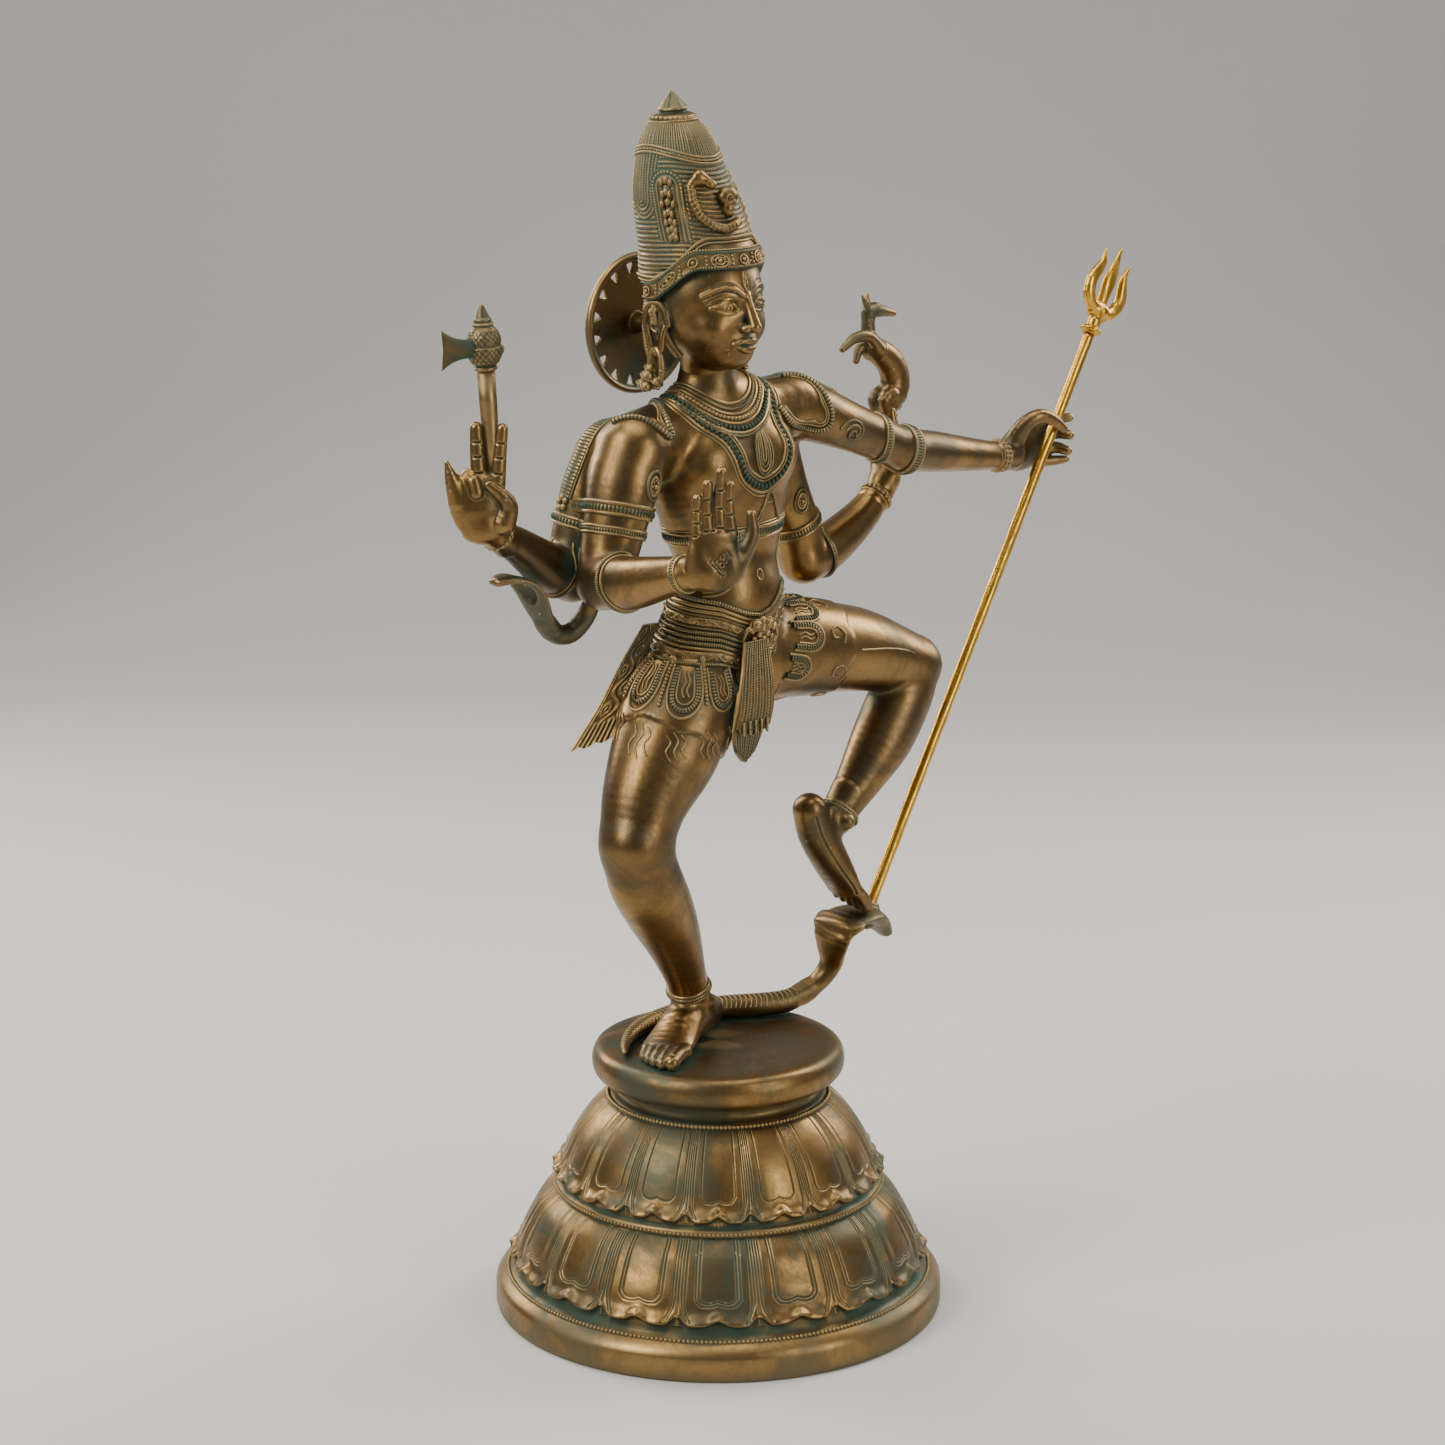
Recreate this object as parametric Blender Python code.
"""Brass dancing figure on a double lotus base, with a lift-out trident.

Metres, +Z up. The figure faces -Y and its left side is +X. The origin is the centre of the base's underside.
The base is a stack of turned castings on a tie rod. The figure is made of castings that meet in butt joints,
each keeping FIT_GAP to its neighbour, and stands on the plinth by a tenon under its foot.
"""

import math

import bmesh
import bpy
from mathutils import Matrix, Vector

# Driving dimensions, in metres.
FIGURE_HEIGHT = 0.523  # from the plinth's top to the tip of the crown
BASE_RADIUS = 0.125
RIM_HEIGHT = 0.014
LOWER_TIER_TOP = 0.0695
UPPER_TIER_TOP = 0.1220
NECK_RADIUS = 0.058  # the waist between the upper tier and the plinth
UPPER_TIER_RADIUS = 0.0915
PLINTH_RADIUS = 0.0705
PLINTH_UNDERSIDE = 0.1325
PLINTH_TOP = 0.1515
WALL = 0.0045
WEB = 0.006  # the flat web across the top of each tier
BASE_PLATE = 0.005
TIE_ROD_RADIUS = 0.004
STAFF_RADIUS = 0.0032
TENON_RADIUS = 0.005
TENON_LENGTH = 0.010
HALO_RADIUS = 0.038
HALO_OPENINGS = 16
HALO_THICKNESS = 0.0035
FIT_GAP = 0.0003
BORE_CLEARANCE = 0.0004

# The figure is drawn in units of 1/523 of its own height, from the centre of the plinth's top.
UNIT = FIGURE_HEIGHT / 523
SOLE = 0.3  # height of the soles, so that they clear the plinth
TURNED_STEPS = 40

# Limbs and trunk: rows of centre (x, y, z) and the two half-widths, in figure units.
TRUNK = (
    (3, 2, 203, 28, 23), (3, 2, 218, 39, 29), (4, 1, 238, 37, 28), (6, 0, 262, 30, 23.5),
    (5, 0, 285, 35, 26.5),
    (2, 0, 310, 43, 30.5), (0, 0, 332, 47, 29), (-2, 1, 350, 40, 22), (-5, 2, 360, 20, 17),
    (-8, 0, 382, 15.5, 15.5),
)
SKULL = (
    (-10, -8, 382, 16, 17), (-11, -6, 392, 25, 27), (-11.5, -4, 405, 29, 32), (-12, -3, 420, 30.5, 33),
    (-12, -1, 436, 28, 31)
)
CROWN = (
    (-12, 1, 428, 33, 34), (-12.5, 3, 440, 31, 32), (-14, 8, 458, 28, 28), (-16, 10.5, 474, 25.5, 25.5),
    (-17, 12, 486, 22.5, 22.5),
    (-18, 13, 498, 18, 18), (-18.5, 13.6, 505, 13.5, 13.5),
)
FINIAL = (
    (-19, 14, 508.5, 11, 11), (-19.3, 14.2, 511.5, 11, 11), (-19.8, 14.6, 513.5, 7.5, 7.5),
    (-20.3, 14.8, 517.5, 6, 6), (-21, 15, 521.5, 2, 2)
)

SHOULDER_FRONT_RIGHT = ((-38, 1, 342, 15, 15), (-60, 1, 338, 20, 20))
UPPER_ARM_FRONT_RIGHT = (
    (-64, 1, 340, 20, 20), (-70, 0, 325, 20, 20), (-79, -2, 298, 18, 17.5), (-89, -5, 273, 15, 14.5)
)
FOREARM_FRONT_RIGHT = (
    (-90, -6, 273, 14.5, 14.5), (-93, -30, 276, 14, 14), (-95, -60, 284, 11, 11), (-95.5, -80, 289, 9, 8)
)
SHOULDER_REAR_RIGHT = ((-38, 16, 336, 14, 14), (-60, 19, 330, 17, 17))
UPPER_ARM_REAR_RIGHT = (
    (-64, 20, 332, 17, 17), (-71, 22, 315, 18, 17), (-78, 25, 290, 16, 16), (-82, 27, 268, 14, 14)
)
FOREARM_REAR_RIGHT = (
    (-82, 27, 270, 13, 13), (-102, 23, 278, 13, 13), (-127, 18, 293, 10, 10), (-147, 14, 304, 8.5, 8)
)
UPPER_ARM_FRONT_LEFT = (
    (34, 0, 343, 14, 14), (52, 0, 348, 17, 17), (70, -2, 343.5, 16, 16), (104, -3, 330.5, 13.5, 13.5),
    (143, -5, 314.5, 12, 12)
)
FOREARM_FRONT_LEFT = (
    (141, -5, 315, 12, 12), (165, -5, 311, 11.7, 11.7), (200, -5, 305, 9.5, 9.5), (226, -6, 301, 8, 8)
)
SHOULDER_REAR_LEFT = ((34, 15, 334, 13, 13), (54, 18, 326, 16, 16))
UPPER_ARM_REAR_LEFT = (
    (60, 20, 322, 16, 16), (70, 22, 300, 15.5, 15.5), (82, 21, 275, 14, 14), (87, 20, 257, 13, 13)
)
FOREARM_REAR_LEFT = (
    (87, 20, 256, 13, 13), (105, 20, 260, 13, 13), (131, 20, 273, 10.5, 10.5), (151, 20, 288, 8, 8)
)
THIGH_STANDING = (
    (-12, 3, 212, 27, 26), (-28, 0, 198, 31, 29), (-43, -3, 176, 30, 29), (-63, -6, 149, 23.5, 23),
    (-71, -9, 126, 19.5, 19)
)
SHIN_STANDING = (
    (-71, -9, 128, 18.5, 18.5), (-61, -8, 105, 20, 20), (-42, -3, 78, 17.5, 17.5), (-27, 3, 55, 14, 14),
    (-15, 8, 34, 11.5, 11.5), (-9, 12, 16, 11, 11)
)
THIGH_RAISED = (
    (26, 1, 216, 25, 25), (50, 0, 215, 27, 26.5), (76, -2, 211, 27, 26), (104, -4, 205, 25, 24),
    (130, -7, 197, 19.5, 19.5), (146, -8, 192, 16.5, 16.5)
)
SHIN_RAISED = (
    (147, -8, 192, 16.5, 16.5), (136, -9, 173, 18.5, 18.5), (120, -10, 152, 18, 18),
    (103, -10, 133, 13.5, 13.5), (86, -10, 117, 10.5, 10.5)
)
FOOT_STANDING = (
    (8, 20, 11, 10, 10.5), (-14, 9, 12, 11.5, 11.7), (-34, 0, 8.5, 13.5, 8), (-48, -7, 5.2, 14, 4.8)
)
ANKLE_RAISED = ((87, -10, 118, 9.5, 9.5), (72, -10, 110, 9.5, 9.5))
FOOT_RAISED = (
    (64, -9, 121, 10.5, 10), (71, -10, 103, 11.5, 9.5), (79, -11, 84, 13, 7.5), (87, -12, 72, 13, 5)
)

# Where things sit on the figure, in figure units.
STAFF_FOOT = Vector((107, -12, 52))
STAFF_TOP = Vector((294, -12, 366))
HAND_GRIP_Z = 308
HALO_CENTRE = Vector((-13, 48, 396))
TENON_AT = Vector((-14, 9, 0))
COBRA_TENON_AT = Vector((44, 9, 0))


def place(x, y, z):
    """A point of the figure, given in figure units, in the world."""
    return Vector((x, y, z)) * UNIT + Vector((0, 0, PLINTH_TOP))


def mesh_from(builder):
    """The triangle-and-quad mesh that builder(bm) makes, with its normals facing out."""
    bm = bmesh.new()
    builder(bm)
    bmesh.ops.recalc_face_normals(bm, faces=bm.faces)
    mesh = bpy.data.meshes.new("shape")
    bm.to_mesh(mesh)
    bm.free()
    return mesh


def bridge_rings(bm, rings, closed=False):
    """Joins rings of vertices, one after another, with quads."""
    count = len(rings[0])
    pairs = list(zip(rings, rings[1:])) + ([(rings[-1], rings[0])] if closed else [])
    for low, high in pairs:
        for i in range(count):
            bm.faces.new((low[i], low[(i + 1) % count], high[(i + 1) % count], high[i]))


def fan(bm, ring, tip):
    for i in range(len(ring)):
        bm.faces.new((ring[i], ring[(i + 1) % len(ring)], tip))


def tube(rows, sides=12, across=(0, 1, 0), dome=0.6):
    """A round-ended limb along rows. Half-widths are measured along `across` and at right angles to it."""

    def make(grow):
        def builder(bm):
            centres = [place(*row[:3]) for row in rows]
            widths = [(row[3] * UNIT + grow, row[4] * UNIT + grow) for row in rows]
            last = len(rows) - 1
            rings = []

            def ring(centre, along, wide, deep):
                first = Vector(across) - along * along.dot(Vector(across))
                first.normalize()
                second = along.cross(first)
                angles = [2 * math.pi * i / sides for i in range(sides)]
                return [
                    bm.verts.new(centre + first * wide * math.cos(a) + second * deep * math.sin(a))
                    for a in angles
                ]

            for i, centre in enumerate(centres):
                along = (centres[min(i + 1, last)] - centres[max(i - 1, 0)]).normalized()
                wide, deep = widths[i]
                reach = dome * min(wide, deep)
                if i == 0:
                    tail = bm.verts.new(centre - along * reach)
                    rings.append(ring(centre - along * reach * 0.7, along, wide * 0.7, deep * 0.7))
                rings.append(ring(centre, along, wide, deep))
                if i == last:
                    rings.append(ring(centre + along * reach * 0.7, along, wide * 0.7, deep * 0.7))
                    nose = bm.verts.new(centre + along * reach)
            bridge_rings(bm, rings)
            fan(bm, rings[0], tail)
            fan(bm, rings[-1], nose)

        return mesh_from(builder)

    return make


def finger(root, tip, radius=2.9, bend=(0, 0, 0), tip_radius=None):
    """A finger or other small round rod between two points, bowed by `bend` at its middle."""
    middle = (Vector(root) + Vector(tip)) / 2 + Vector(bend)
    along = (Vector(tip) - Vector(root)).normalized()
    across = (0, 1, 0) if abs(along.y) < 0.8 else (1, 0, 0)
    end = radius * 0.8 if tip_radius is None else tip_radius
    rows = [(*root, radius, radius), (*middle, (radius + end) / 2, (radius + end) / 2), (*tip, end, end)]
    return tube(rows, sides=8, across=across, dome=0.9)


def round_bar(start, end, radius, sides=20):
    """A plain round bar between two world points, with flat ends."""

    def make(grow):
        def builder(bm):
            along = (end - start).normalized()
            first = along.orthogonal().normalized()
            second = along.cross(first)
            rings = []
            for centre in (start - along * grow, end + along * grow):
                angles = [2 * math.pi * i / sides for i in range(sides)]
                spokes = [first * math.cos(a) + second * math.sin(a) for a in angles]
                rings.append([bm.verts.new(centre + spoke * (radius + grow)) for spoke in spokes])
            bridge_rings(bm, rings)
            bm.faces.new(rings[0])
            bm.faces.new(list(reversed(rings[1])))

        return mesh_from(builder)

    return make


def plate(outline, thickness, across=(0, 1, 0)):
    """A flat plate: outline points in figure units, thickened along `across`."""

    def make(grow):
        def builder(bm):
            offset = Vector(across) * (thickness * UNIT / 2 + grow)
            points = [place(*p) for p in outline]
            middle = sum(points, Vector()) / len(points)
            wider = [p + (p - middle).normalized() * grow for p in points]
            near = [bm.verts.new(p - offset) for p in wider]
            far = [bm.verts.new(p + offset) for p in wider]
            bridge_rings(bm, [near, far])
            bm.faces.new(near)
            bm.faces.new(list(reversed(far)))

        return mesh_from(builder)

    return make


def turned(profile, centre=Vector(), axis="Z", steps=TURNED_STEPS):
    """A closed profile of (radius, height) points turned about an axis. A profile that starts and ends on the
    axis makes a solid, and one that doesn't makes a ring."""

    def make(_grow):
        def builder(bm):
            rings = []
            for radius, height in profile:
                if radius == 0:
                    spot = Vector((0, 0, height)) if axis == "Z" else Vector((0, height, 0))
                    rings.append([bm.verts.new(centre + spot)])
                    continue
                angles = [2 * math.pi * i / steps for i in range(steps)]
                flat = [(radius * math.cos(a), radius * math.sin(a)) for a in angles]
                spots = [Vector((x, y, height)) if axis == "Z" else Vector((x, height, y)) for x, y in flat]
                rings.append([bm.verts.new(centre + spot) for spot in spots])
            solid = profile[0][0] == 0
            if solid:
                fan(bm, rings[1], rings[0][0])
                fan(bm, rings[-2], rings[-1][0])
                rings = rings[1:-1]
            bridge_rings(bm, rings, closed=not solid)

        return mesh_from(builder)

    return make


def stand_in(mesh, name="helper"):
    obj = bpy.data.objects.new(name, mesh)
    bpy.context.scene.collection.objects.link(obj)
    return obj


def baked(obj):
    """Replaces an object's mesh with its evaluated one, and drops the modifiers."""
    bpy.context.view_layer.update()
    graph = bpy.context.evaluated_depsgraph_get()
    mesh = bpy.data.meshes.new_from_object(obj.evaluated_get(graph))
    obj.modifiers.clear()
    obj.data = mesh
    return obj


def combine(obj, mesh, operation):
    """Joins a mesh to an object, or cuts it out, with an exact Boolean."""
    helper = stand_in(mesh)
    modifier = obj.modifiers.new(operation.title(), "BOOLEAN")
    modifier.operation = operation
    modifier.object = helper
    modifier.solver = "EXACT"
    baked(obj)
    bpy.data.objects.remove(helper)
    return obj


class Statue:
    """Collects the nodes. Their shapes are kept, so that a neighbour can be cut by the same shapes, grown."""

    def __init__(self, materials):
        self.shapes = {}
        self.materials = materials

    def add(self, name, shapes, material, cut_by=(), bores=()):
        """One node: the union of its shapes, cut clear of the named nodes and bored by plain shapes."""
        obj = stand_in(shapes[0](0.0), name)
        for shape in shapes[1:]:
            combine(obj, shape(0.0), "UNION")
        for other in cut_by:
            for shape in self.shapes[other]:
                combine(obj, shape(FIT_GAP), "DIFFERENCE")
        for bore in bores:
            combine(obj, bore(0.0), "DIFFERENCE")
        obj.data.materials.clear()
        obj.data.materials.append(self.materials[material])
        obj.data.shade_smooth()
        obj.data.set_sharp_from_angle(angle=math.radians(40))
        self.shapes[name] = shapes
        return obj


def make_material(name, colour, roughness):
    material = bpy.data.materials.new(name)
    material.use_nodes = True
    shader = material.node_tree.nodes["Principled BSDF"]
    shader.inputs["Base Color"].default_value = (*colour, 1)
    shader.inputs["Roughness"].default_value = roughness
    shader.inputs["Metallic"].default_value = 1.0
    return material


def tier_profile(outside, top, web_radius, plate_rebate=0.0):
    """The closed section of a hollow tier: its outside from the web down, then back up the inside."""
    hole = TIE_ROD_RADIUS + BORE_CLEARANCE
    foot_radius, foot_height = outside[-1]
    inside = [(max(radius - WALL, hole + WALL), height) for radius, height in reversed(outside[:-1])]
    inside = [(radius, height) for radius, height in inside if foot_height + WEB < height < top - WEB]
    foot = [(foot_radius - WALL, foot_height)]
    if plate_rebate:
        seat = foot_radius - 2 * WALL
        foot = [
            (seat, foot_height), (seat, foot_height + plate_rebate + FIT_GAP),
            (seat - WALL, foot_height + plate_rebate + FIT_GAP)
        ]
    ceiling = [(web_radius - WALL, top - WEB), (hole, top - WEB)]
    return [(hole, top), (web_radius, top), *outside, *foot, *inside, *ceiling]


def add_base(statue):
    """The lotus base: base plate, two hollow tiers, the plinth disc, and the tie rod that holds them."""
    rim = BASE_RADIUS
    seat_step = RIM_HEIGHT / 2.6
    lower = [
        (UPPER_TIER_RADIUS + 0.001, LOWER_TIER_TOP - 0.003), (rim * 0.832, 0.053), (rim * 0.888, 0.042),
        (rim * 0.941, 0.029), (rim * 0.920, 0.022), (rim * 0.952, RIM_HEIGHT + seat_step),
        (rim, RIM_HEIGHT), (rim, 0.0),
    ]
    statue.add(
        "lotus_base_lower",
        [
            turned(
                tier_profile(
                    lower, LOWER_TIER_TOP - FIT_GAP, UPPER_TIER_RADIUS - 0.001, plate_rebate=BASE_PLATE
                )
            )
        ],
        "antique_brass",
    )
    seat = rim - 2 * WALL - FIT_GAP
    plate_top = BASE_PLATE
    blind = 0.0015
    hole = TIE_ROD_RADIUS + BORE_CLEARANCE
    boss = TIE_ROD_RADIUS * 2.5
    boss_top = plate_top + 0.006
    statue.add(
        "base_plate",
        [
            turned(
                [
                    (0, 0), (seat, 0), (seat, plate_top), (boss, plate_top), (boss, boss_top),
                    (hole, boss_top), (hole, blind), (0, blind)
                ]
            )
        ],
        "raw_brass",
    )
    step = UPPER_TIER_RADIUS
    upper = [
        (NECK_RADIUS + 0.004, UPPER_TIER_TOP - 0.0015), (step * 0.705, 0.117), (step * 0.83, 0.104),
        (step * 0.893, 0.090),
        (step * 0.985, 0.080), (step * 0.975, 0.0745), (step, 0.0725), (step, LOWER_TIER_TOP),
    ]
    statue.add(
        "lotus_base_upper",
        [turned(tier_profile(upper, UPPER_TIER_TOP, NECK_RADIUS + 0.002))],
        "antique_brass",
    )
    edge = PLINTH_RADIUS
    skirt = UPPER_TIER_TOP + FIT_GAP
    rod_top = PLINTH_TOP - 0.008
    disc = [
        (0, PLINTH_TOP), (edge * 0.935, PLINTH_TOP), (edge * 0.975, PLINTH_TOP - 0.002),
        (edge, PLINTH_TOP - 0.009),
        (edge * 0.985, PLINTH_UNDERSIDE + 0.004), (edge * 0.935, PLINTH_UNDERSIDE),
        (NECK_RADIUS, PLINTH_UNDERSIDE - 0.002),
        (NECK_RADIUS, skirt), (hole, skirt), (hole, rod_top), (0, rod_top),
    ]
    tenon_hole = TENON_RADIUS + BORE_CLEARANCE
    sockets = []
    for spot, radius in ((TENON_AT, tenon_hole), (COBRA_TENON_AT, tenon_hole * 0.8)):
        top = place(*spot) + Vector((0, 0, 0.002))
        sockets.append(round_bar(top - Vector((0, 0, 0.002 + TENON_LENGTH + 0.001)), top, radius))
    statue.add("plinth_disc", [turned(disc)], "antique_brass", bores=sockets)
    rod_foot = Vector((0, 0, blind + FIT_GAP))
    statue.add(
        "tie_rod", [round_bar(rod_foot, Vector((0, 0, rod_top - FIT_GAP)), TIE_ROD_RADIUS, sides=16)],
        "steel"
    )


def tenon(spot, radius, length):
    """A tenon under a foot, down into its socket in the plinth."""
    top = place(*spot)
    return round_bar(top - Vector((0, 0, length)), top + Vector((0, 0, 6 * UNIT)), radius, sides=16)


def plinth_face():
    """A slab that fills everything below the soles, for trimming what stands on the plinth."""
    size = BASE_RADIUS * 2
    corner = [(-size, -size), (size, -size), (size, size), (-size, size)]

    def make(_grow):
        def builder(bm):
            heights = (0.0, PLINTH_TOP + SOLE * UNIT)
            rings = [[bm.verts.new((x, y, z)) for x, y in corner] for z in heights]
            bridge_rings(bm, rings)
            bm.faces.new(rings[0])
            bm.faces.new(list(reversed(rings[1])))

        return mesh_from(builder)

    return make


def raised_hand(wrist, palm, across, up, spread, lengths, thumb_side, fingers=4):
    """A flat open hand: a palm and straight fingers, `across` the palm and `up` along the fingers."""
    wrist, palm, across, up = Vector(wrist), Vector(palm), Vector(across), Vector(up)
    shapes = [
        tube(
            [(*wrist, 8, 6), (*palm, 12, 6.5), (*(palm + up * 10), 12.5, 5)], sides=10, across=tuple(across)
        )
    ]
    for i in range(fingers):
        offset = across * spread * (i - (fingers - 1) / 2)
        root = palm + up * 12 + offset
        shapes.append(finger(root, root + up * lengths[i] + offset * 0.15, radius=2.9))
    thumb = palm + across * thumb_side * 10 - up * 2
    shapes.append(finger(thumb, thumb + across * thumb_side * 8 + up * 17, radius=3.4))
    return shapes


def add_trunk(statue):
    """Trunk and legs. The standing leg's foot has a tenon into the plinth."""
    statue.add("torso", [tube(TRUNK, sides=18, across=(1, 0, 0), dome=0.35)], "antique_brass")
    toes = []
    for i in range(5):
        side = Vector((0.39, -0.92, 0)) * (5.2 * (2 - i))
        root = Vector((-44, -5, 4.8)) + side
        toes.append(
            finger(
                root, root + Vector((-0.92, -0.39, -0.05)) * (14 - 1.6 * i), radius=3.6 if i == 0 else 2.8
            )
        )
    foot = [
        tube(
            [(x, y, z, wide, deep) for x, y, z, wide, deep in FOOT_STANDING], across=(0.39, -0.92, 0),
            dome=0.5
        ),
        tenon(TENON_AT, TENON_RADIUS, TENON_LENGTH),
    ]
    leg = [tube(THIGH_STANDING, sides=14), tube(SHIN_STANDING, sides=14), *foot[:1], *toes]
    standing = statue.add("standing_leg", leg, "antique_brass", cut_by=["torso"], bores=[plinth_face()])
    combine(standing, foot[1](0.0), "UNION")
    raised_toes = []
    for i in range(5):
        root = Vector((86, -12 + 4.8 * (i - 2), 73))
        raised_toes.append(
            finger(root, root + Vector((0.62, 0, -0.78)) * (12 - 1.2 * i), radius=3.4 if i == 0 else 2.7)
        )
    leg = [
        tube(THIGH_RAISED, sides=14), tube(SHIN_RAISED, sides=14), tube(ANKLE_RAISED),
        tube(FOOT_RAISED, across=(0, 1, 0), dome=0.8), *raised_toes
    ]
    statue.add("raised_leg", leg, "antique_brass", cut_by=["torso", "standing_leg"])


def add_head(statue):
    """Head, crown and its finial, ear ornaments, and the halo disc on its stem."""
    ears = [
        tube([(x, 3, 384, 2.5, 5), (x, 3, 400, 3, 6.5), (x, 2, 412, 2.5, 6)], sides=8, across=(1, 0, 0))
        for x in (-41.5, 18.5)
    ]
    nose = tube([(-11.5, -35, 404, 3, 3), (-11.5, -38.5, 396, 4.2, 4.2)], sides=8, across=(1, 0, 0))
    statue.add(
        "head", [tube(SKULL, sides=16, across=(1, 0, 0), dome=0.5), nose, *ears], "antique_brass",
        cut_by=["torso"]
    )
    statue.add("crown", [tube(CROWN, sides=16, across=(1, 0, 0), dome=0.3)], "antique_brass", cut_by=["head"])
    statue.add(
        "crown_finial", [tube(FINIAL, sides=12, across=(1, 0, 0), dome=0.3)], "antique_brass",
        cut_by=["crown"]
    )
    cobra = tube(
        [
            (-14, -18, 462, 3, 3), (-22, -21, 468, 3, 3), (-27, -19, 478, 3, 3), (-22, -20, 487, 4, 3),
            (-17, -24, 488, 3, 3)
        ],
        sides=8
    )
    statue.add("crown_cobra", [cobra], "antique_brass", cut_by=["crown"])
    skull = tube(
        [(-10, -25, 468, 3.5, 3.5), (-10, -25, 474, 6, 6), (-10, -24, 480, 6, 6)], sides=10,
        across=(1, 0, 0)
    )
    statue.add("crown_skull", [skull], "antique_brass", cut_by=["crown", "crown_cobra"])
    for name, x in (("earring_right", -43), ("earring_left", 20)):
        loop = tube(
            [
                (x, -4, 381, 2, 2.2), (x, 0, 374, 2, 2.2), (x, 4, 370, 2.2, 2.4), (x, 8, 374, 2, 2.2),
                (x, 10, 381, 2, 2.2)
            ],
            sides=8, across=(1, 0, 0)
        )
        statue.add(name, [loop], "antique_brass", cut_by=["head", "torso"])
    centre = place(*HALO_CENTRE)
    rim, half = HALO_RADIUS, HALO_THICKNESS / 2
    section = [
        (0, -half), (rim * 0.86, -half), (rim * 0.92, -half * 2), (rim, -half * 2), (rim, half * 1.5),
        (rim * 0.7, half), (0, half),
    ]
    openings = [halo_opening(centre, 2 * math.pi * (i + 0.5) / HALO_OPENINGS) for i in range(HALO_OPENINGS)]
    statue.add("halo_disc", [turned(section, centre=centre, axis="Y")], "antique_brass", bores=openings)
    stem_end = centre - Vector((0, half + FIT_GAP, 0))
    stem = round_bar(place(HALO_CENTRE.x, 22, HALO_CENTRE.z), stem_end, 0.0055, sides=14)
    statue.add("halo_stem", [stem], "antique_brass", cut_by=["head", "torso"])


def halo_opening(centre, angle):
    """A triangular piercing near the halo's edge, its point inwards."""

    def make(_grow):
        def builder(bm):
            outward = Vector((math.cos(angle), 0, math.sin(angle)))
            sideways = Vector((-math.sin(angle), 0, math.cos(angle)))
            corners = [
                outward * HALO_RADIUS * 0.66,
                *(outward * HALO_RADIUS * 0.81 + sideways * HALO_RADIUS * s for s in (0.075, -0.075))
            ]
            rings = [
                [bm.verts.new(centre + c + Vector((0, y, 0))) for c in corners] for y in (
                    -HALO_THICKNESS * 2, HALO_THICKNESS * 2
                )
            ]
            bridge_rings(bm, rings)
            bm.faces.new(rings[0])
            bm.faces.new(list(reversed(rings[1])))

        return mesh_from(builder)

    return make


def staff_bore():
    """The hole that the staff slides in, through the grip and into the cobra's hood."""
    along = (STAFF_TOP - STAFF_FOOT).normalized()
    return round_bar(place(*(STAFF_FOOT - along * 0.8)), place(*STAFF_TOP), STAFF_RADIUS + BORE_CLEARANCE)


def add_arms(statue):
    """Four arms, each one casting with its hand."""
    front_right = [
        tube(SHOULDER_FRONT_RIGHT, sides=14),
        tube(UPPER_ARM_FRONT_RIGHT, sides=14),
        tube(FOREARM_FRONT_RIGHT, sides=14, across=(1, 0, 0)),
        *raised_hand(
            (-95, -82, 290), (-91, -86, 301), (0.87, -0.5, 0), (0, -0.05, 1), 5.6, (22, 28, 31, 27), 1
        ),
    ]
    statue.add("arm_front_right", front_right, "antique_brass", cut_by=["torso", "earring_right"])
    rear_right = [
        tube(SHOULDER_REAR_RIGHT, sides=14),
        tube(UPPER_ARM_REAR_RIGHT, sides=14),
        tube(FOREARM_REAR_RIGHT, sides=14),
        tube(
            [(-151, 13.5, 306, 7.5, 7), (-159, 12, 316, 12, 7), (-160, 11, 327, 12.5, 6)], sides=10,
            across=(0.8, -0.6, 0)
        ),
        finger((-164, 14, 326), (-163, 13, 360), radius=3.2),
        finger((-153, 7, 325), (-149, 6, 357), radius=3.2),
        finger((-168, 17, 322), (-178, 18, 341)),
        finger((-156, 5, 316), (-160, -1, 333), radius=3.4),
    ]
    statue.add("arm_rear_right", rear_right, "antique_brass", cut_by=["torso", "arm_front_right"])
    grip = grip_point()
    front_left = [
        tube(UPPER_ARM_FRONT_LEFT, sides=14),
        tube(FOREARM_FRONT_LEFT, sides=14),
        tube([(230, -7, 301, 7, 8), (240, -9, 301, 8, 11), (250, -11, 303, 9, 11)], sides=10),
        tube([(*(grip - Vector((9, 0, 4))), 7, 8), (*(grip + Vector((6, 0, 2))), 7, 8)], sides=10),
        finger((262, -14, 304), (272, -8, 297)),
        finger((262, -10, 311), (270, -4, 322)),
        finger((240, -14, 308), (251, -20, 318), radius=3.2),
    ]
    statue.add(
        "arm_front_left", front_left, "antique_brass", cut_by=["torso", "earring_left"],
        bores=[staff_bore()]
    )
    rear_left = [
        tube(SHOULDER_REAR_LEFT, sides=14),
        tube(UPPER_ARM_REAR_LEFT, sides=14),
        tube(FOREARM_REAR_LEFT, sides=14),
        tube(
            [(152, 20, 289, 7, 7), (155, 20, 300, 11, 6.5), (155.5, 20, 311, 11, 5.5)], sides=10,
            across=(0, 1, 0)
        ),
        finger((154.5, 15, 309), (153, 16, 330)),
        finger((156.5, 25, 309), (155, 24, 330)),
        finger((153, 14, 306), (143, 9, 322), radius=3.2),
        finger((157, 27, 306), (167, 30, 322)),
    ]
    statue.add("arm_rear_left", rear_left, "antique_brass", cut_by=["torso", "arm_front_left"])


def grip_point():
    """The point of the staff's axis at the height of the grip."""
    along = STAFF_TOP - STAFF_FOOT
    return STAFF_FOOT + along * ((HAND_GRIP_Z - STAFF_FOOT.z) / along.z)


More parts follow.
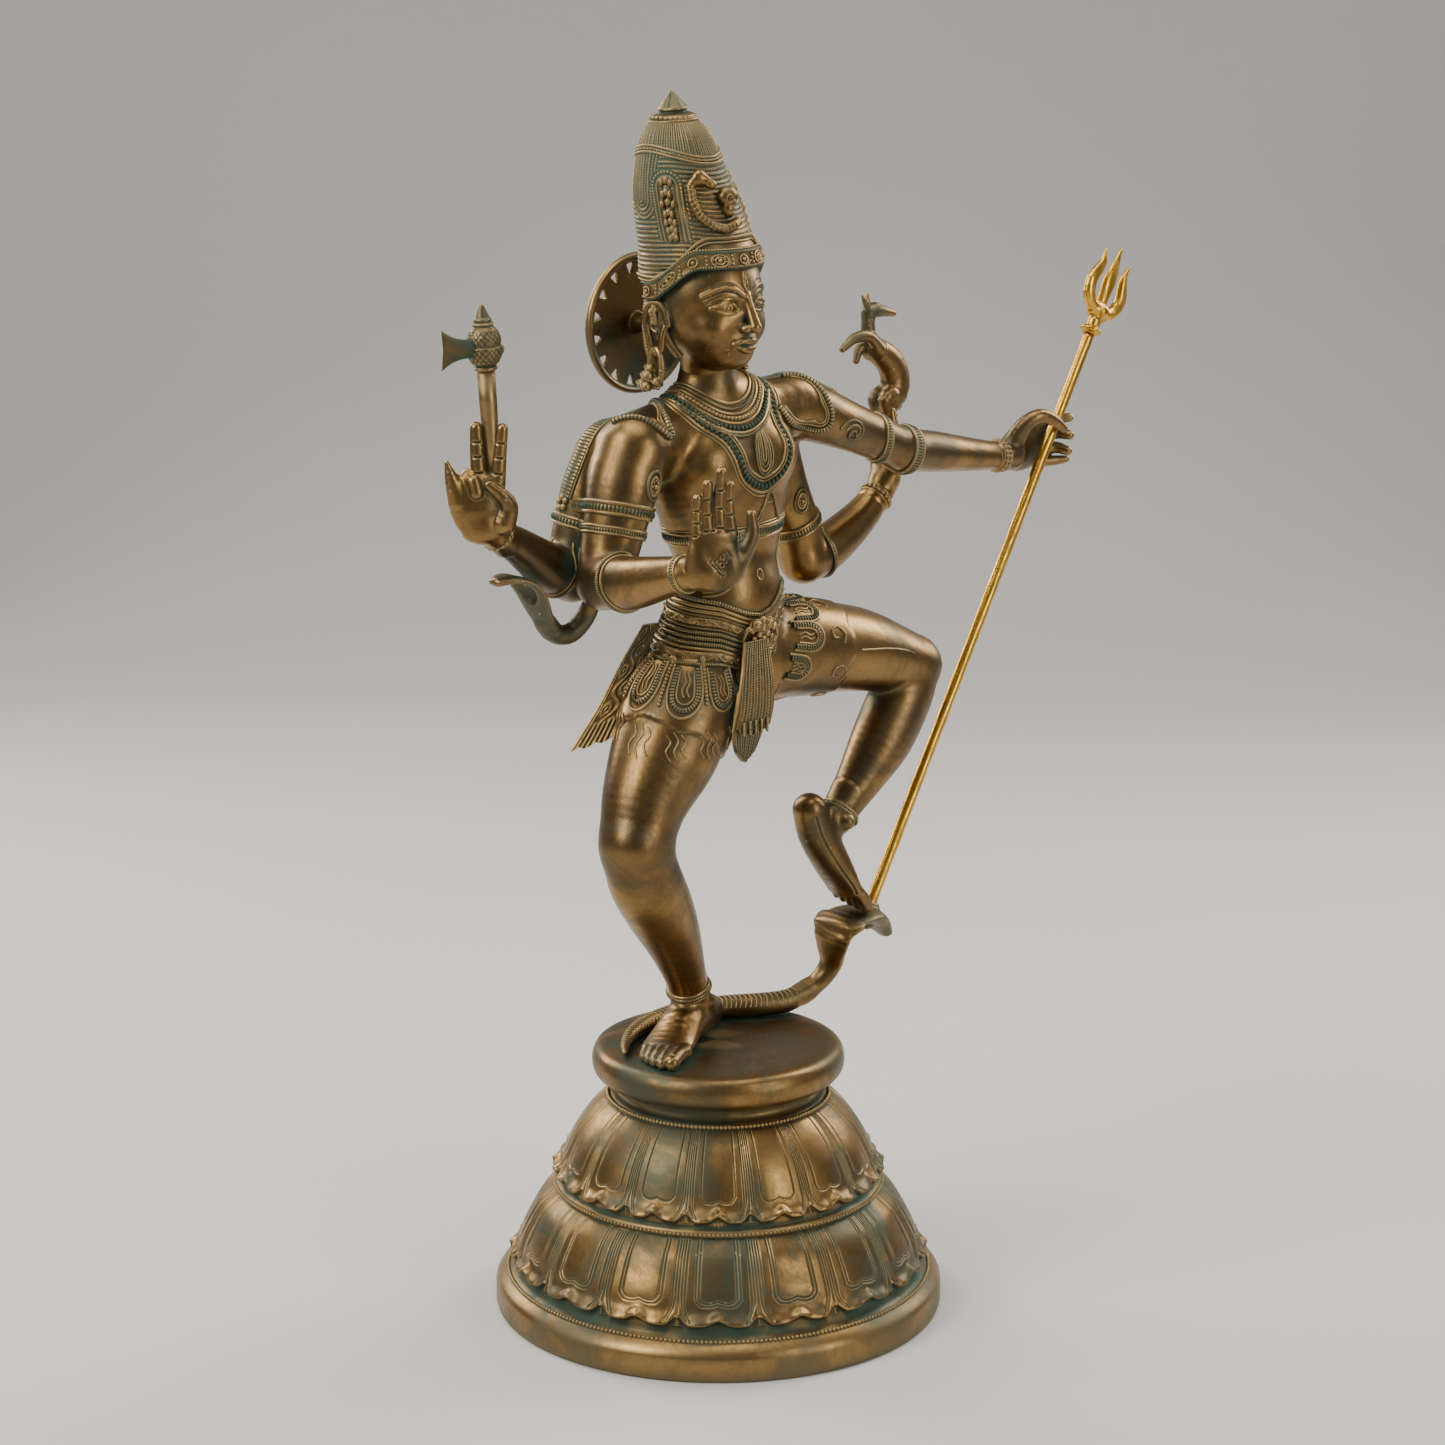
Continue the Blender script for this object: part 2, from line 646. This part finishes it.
def add_attributes(statue):
    """What the rear hands hold, the cobras, and the sash ends."""
    axe = [
        tube([(-152, 9, 334, 4.2, 4.2), (-155, 10, 388, 4.8, 4.8)], sides=10, across=(0, 1, 0), dome=0.3),
        tube(
            [
                (-156, 10, 391, 5.5, 5.5), (-156.5, 10, 402, 9.2, 9.2), (-157, 10, 411, 7, 7),
                (-158.5, 10, 421, 2, 2)
            ],
            sides=12
        ),
        plate(
            [
                (-162, 10, 400), (-172, 10, 398), (-184, 10, 393), (-186, 10, 402), (-186, 10, 410),
                (-172, 10, 407), (-162, 10, 406)
            ],
            3.4
        ),
    ]
    statue.add("axe", axe, "antique_brass", cut_by=["arm_rear_right"])
    deer = [
        tube(
            [
                (154, 20, 334, 5.5, 4.5), (159, 20, 350, 8, 7), (155, 20, 362, 8.5, 7.5),
                (146, 20, 369, 7, 6.5)
            ],
            sides=10
        ),
        tube([(145, 20, 369, 5, 5), (138, 20, 379, 3.8, 3.8), (139, 20, 387, 4, 4)], sides=10),
        tube(
            [(139, 20, 389, 4.5, 4.2), (150, 20, 389, 4, 3.6), (159, 20, 386, 2.4, 2.2)], sides=10,
            across=(0, 1, 0)
        ),
        finger((146, 24, 372), (116, 24, 373), radius=3, bend=(0, 0, 7)),
        finger((144, 16, 366), (130, 16, 363), radius=3, bend=(0, 0, 3)),
        finger((138, 17, 391), (133, 15, 399), radius=1.8),
        finger((140, 23, 391), (138, 25, 399), radius=1.8),
    ]
    statue.add("deer", deer, "antique_brass", cut_by=["arm_rear_left"])
    arm_cobra = [
        tube(
            [
                (-90, 10, 252, 5.5, 5.5), (-97, 13, 243, 5.5, 5.5), (-108, 14, 243, 5.5, 5.5),
                (-118, 14, 254, 9, 4), (-124, 14, 268, 13, 4)
            ],
            sides=10
        ),
        tube([(-122, 14, 265, 13, 4), (-132, 14, 276, 12, 3.5), (-145, 14, 278, 6, 4)], sides=10),
    ]
    statue.add("arm_cobra", arm_cobra, "antique_brass", cut_by=["arm_front_right", "arm_rear_right"])
    hood = [
        tube(
            [
                (-48, 22, 4, 3, 3), (-30, 33, 5, 4.5, 4.5), (-4, 36, 6, 5.5, 5.5), (22, 28, 6.5, 6, 6),
                (44, 12, 6.5, 6.5, 6.5), (62, 4, 7.5, 6, 6)
            ],
            sides=10, across=(0, 0, 1)
        ),
        tube(
            [
                (60, 5, 7, 6, 6), (76, 1, 12, 6, 5.5), (86, -4, 22, 6.5, 5.5), (86, -8, 32, 8, 4.5),
                (80, -10, 42, 12, 4), (84, -11, 52, 15, 4)
            ],
            sides=10
        ),
        tube(
            [(83, -11, 51, 15, 4), (96, -12, 53, 16, 5), (108, -12, 50, 13, 6.5), (120, -12, 42, 8, 4.5)],
            sides=10
        ),
        tenon(COBRA_TENON_AT, TENON_RADIUS * 0.8, -SOLE * UNIT),
    ]
    base_cobra = statue.add(
        "base_cobra", hood, "antique_brass", cut_by=["standing_leg", "raised_leg"], bores=[
            staff_bore(), plinth_face()
        ]
    )
    combine(base_cobra, tenon(COBRA_TENON_AT, TENON_RADIUS * 0.8, TENON_LENGTH)(0.0), "UNION")
    side_sash = tube(
        [(-38, 14, 242, 7, 4), (-44, 21, 222, 8, 4), (-53, 23, 200, 9, 4), (-67, 26, 176, 12, 4)], sides=10,
        across=(0.6, -0.6, 0.3), dome=0.3
    )
    statue.add(
        "side_sash", [side_sash], "antique_brass",
        cut_by=["torso", "standing_leg", "arm_front_right", "arm_rear_right"]
    )
    front_sash = tube(
        [(-6, -32, 228, 11, 4), (-8, -36, 206, 15, 4), (-11, -34, 184, 14, 4), (-13, -33, 175, 8, 4)],
        sides=10, across=(1, 0, 0), dome=0.3
    )
    statue.add("front_sash", [front_sash], "antique_brass", cut_by=["torso", "standing_leg", "raised_leg"])


def add_trident(statue):
    """The lift-out trident: a plain round staff with a cast three-pronged head on a collar."""
    along = (STAFF_TOP - STAFF_FOOT).normalized()
    side = Vector((along.z, 0, -along.x))
    statue.add(
        "trident_staff", [round_bar(place(*STAFF_FOOT), place(*STAFF_TOP), STAFF_RADIUS)], "gilt_brass"
    )

    def from_top(up, out):
        return STAFF_TOP + along * up + side * out

    collar = [tube([(*from_top(0.8, 0), 6.2, 6.2), (*from_top(4, 0), 6.2, 6.2)], sides=16, dome=0.08)]
    statue.add("trident_collar", collar, "gilt_brass", cut_by=["trident_staff"])
    prongs = [
        tube([(*from_top(5.5, 0), 4.2, 4.2), (*from_top(13, 0), 5, 6.5), (*from_top(20, 0), 5, 8)], sides=10),
        tube(
            [(*from_top(16.3, 0), 4.3, 4.6), (*from_top(34, 0), 3.6, 4.4), (*from_top(52, 0), 1.2, 1.2)],
            sides=10
        ),
    ]
    for way in (-1, 1):
        prongs.append(
            tube(
                [
                    (*from_top(14.6 + way * 0.4, way * 1.5), 4.5, 4.5), (*from_top(19, way * 9), 4.4, 4.4),
                    (*from_top(27, way * 14), 3.8, 3.8),
                    (*from_top(37, way * 11), 3, 3), (*from_top(46, way * 11.5), 1.1, 1.1),
                ],
                sides=10,
            )
        )
    statue.add("trident_head", prongs, "gilt_brass", cut_by=["trident_collar", "trident_staff"])


def hang(name, origin, nodes):
    """Put each node's own origin at its middle, and hang the nodes on an empty at the body's origin."""
    empty = bpy.data.objects.new(name, None)
    empty.location = origin
    bpy.context.scene.collection.objects.link(empty)
    for node in nodes:
        obj = bpy.data.objects[node]
        corners = [Vector(corner) for corner in obj.bound_box]
        middle = (corners[0] + corners[6]) / 2
        obj.data.transform(Matrix.Translation(-middle))
        obj.parent = empty
        obj.location = middle - origin


def main():
    for obj in list(bpy.data.objects):
        bpy.data.objects.remove(obj)
    materials = {
        "antique_brass": make_material("antique_brass", (0.30, 0.22, 0.11), 0.38),
        "gilt_brass": make_material("gilt_brass", (0.78, 0.50, 0.10), 0.25),
        "raw_brass": make_material("raw_brass", (0.55, 0.42, 0.20), 0.45),
        "steel": make_material("steel", (0.55, 0.55, 0.56), 0.40),
    }
    statue = Statue(materials)
    add_base(statue)
    add_trunk(statue)
    add_head(statue)
    add_arms(statue)
    add_attributes(statue)
    add_trident(statue)
    trident = [name for name in statue.shapes if name.startswith("trident_")]
    hang("statue", Vector((0, 0, 0)), [name for name in statue.shapes if name not in trident])
    hang("trident", place(*STAFF_FOOT), trident)


main()
